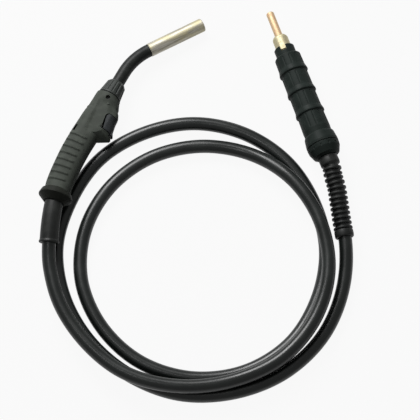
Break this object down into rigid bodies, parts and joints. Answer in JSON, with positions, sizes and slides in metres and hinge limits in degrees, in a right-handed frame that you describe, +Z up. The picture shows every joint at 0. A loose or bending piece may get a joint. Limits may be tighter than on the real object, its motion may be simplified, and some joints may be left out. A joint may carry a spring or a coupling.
{
  "type": "mig welding torch",
  "caption": "MIG welding torch with a bent neck and gas nozzle, a ribbed pistol handle with a sprung trigger, a coiled power cable and a round plug with a bend relief boot.",
  "frame": {"origin": "centre of the torch's footprint, on the floor it lies on: the middle of the bounding box of the torch without its cable and plug, at the bottom", "axes": "the torch lies on its side; +Y runs along the handle towards the neck and the nozzle, +X is the side of the trigger and of the neck's bend, +Z is up from the floor, across the handle's thickness"},
  "size_m": [0.462, 0.5942, 0.0638],
  "materials": {
    "bright_metal": "satin",
    "copper": "satin",
    "brass": "satin",
    "tinned_copper": "satin",
    "steel": "satin",
    "ceramic": "matte",
    "black_jacket": "satin",
    "handle_plastic": "matte",
    "trigger_plastic": "satin",
    "switch_plastic": "matte",
    "red_plastic": "matte",
    "wire_insulation": "satin",
    "rubber": "matte",
    "plug_plastic": "matte"
  },
  "bodies": {
    "torch": {"nozzle_insulator": "ceramic", "nozzle_clip": "steel", "gas_diffuser": "brass", "contact_tip": "copper", "neck_conductor": "copper", "neck_jacket": "black_jacket", "wire_liner": "steel", "neck_nut": "handle_plastic", "neck_set_screw": "steel", "handle_upper": "handle_plastic", "handle_lower": "handle_plastic", "trigger_pin": "steel", "switch_body": "switch_plastic", "switch_terminals": "brass", "switch_wires": "wire_insulation", "power_connector": "brass", "cable_crimp": "tinned_copper", "locking_ring": "trigger_plastic", "cable_sleeve": "rubber", "cable": "rubber", "plug_pin": "copper", "plug_body": "brass", "plug_collar": "plug_plastic", "plug_grip": "plug_plastic", "plug_crimp": "tinned_copper", "plug_nut": "plug_plastic", "plug_boot": "rubber"},
    "trigger": {"trigger": "trigger_plastic"},
    "switch_button": {"switch_plunger": "red_plastic"},
    "nozzle": {"gas_nozzle": "bright_metal"}
  },
  "joints": [
    {"name": "trigger_press", "type": "hinge", "parent": "torch", "child": "trigger", "pos_m": [-0.007, 0.01015, 0.02668], "axis": [0, -0.0854, -0.9963], "range_deg": [0, 4], "stiffness_Nm_per_rad": 1.2, "springref_deg": -2.86},
    {"name": "switch_press", "type": "slide", "parent": "torch", "child": "switch_button", "axis": [-1, 0, 0], "range_m": [0, 0.0021]},
    {"name": "nozzle_pull", "type": "slide", "parent": "torch", "child": "nozzle", "axis": [0.5446, 0.8356, -0.0716], "range_m": [0, 0.045]}
  ],
  "couplings": [
    {"joint": "switch_press", "follows": "trigger_press", "m_per_rad": 0.03}
  ]
}
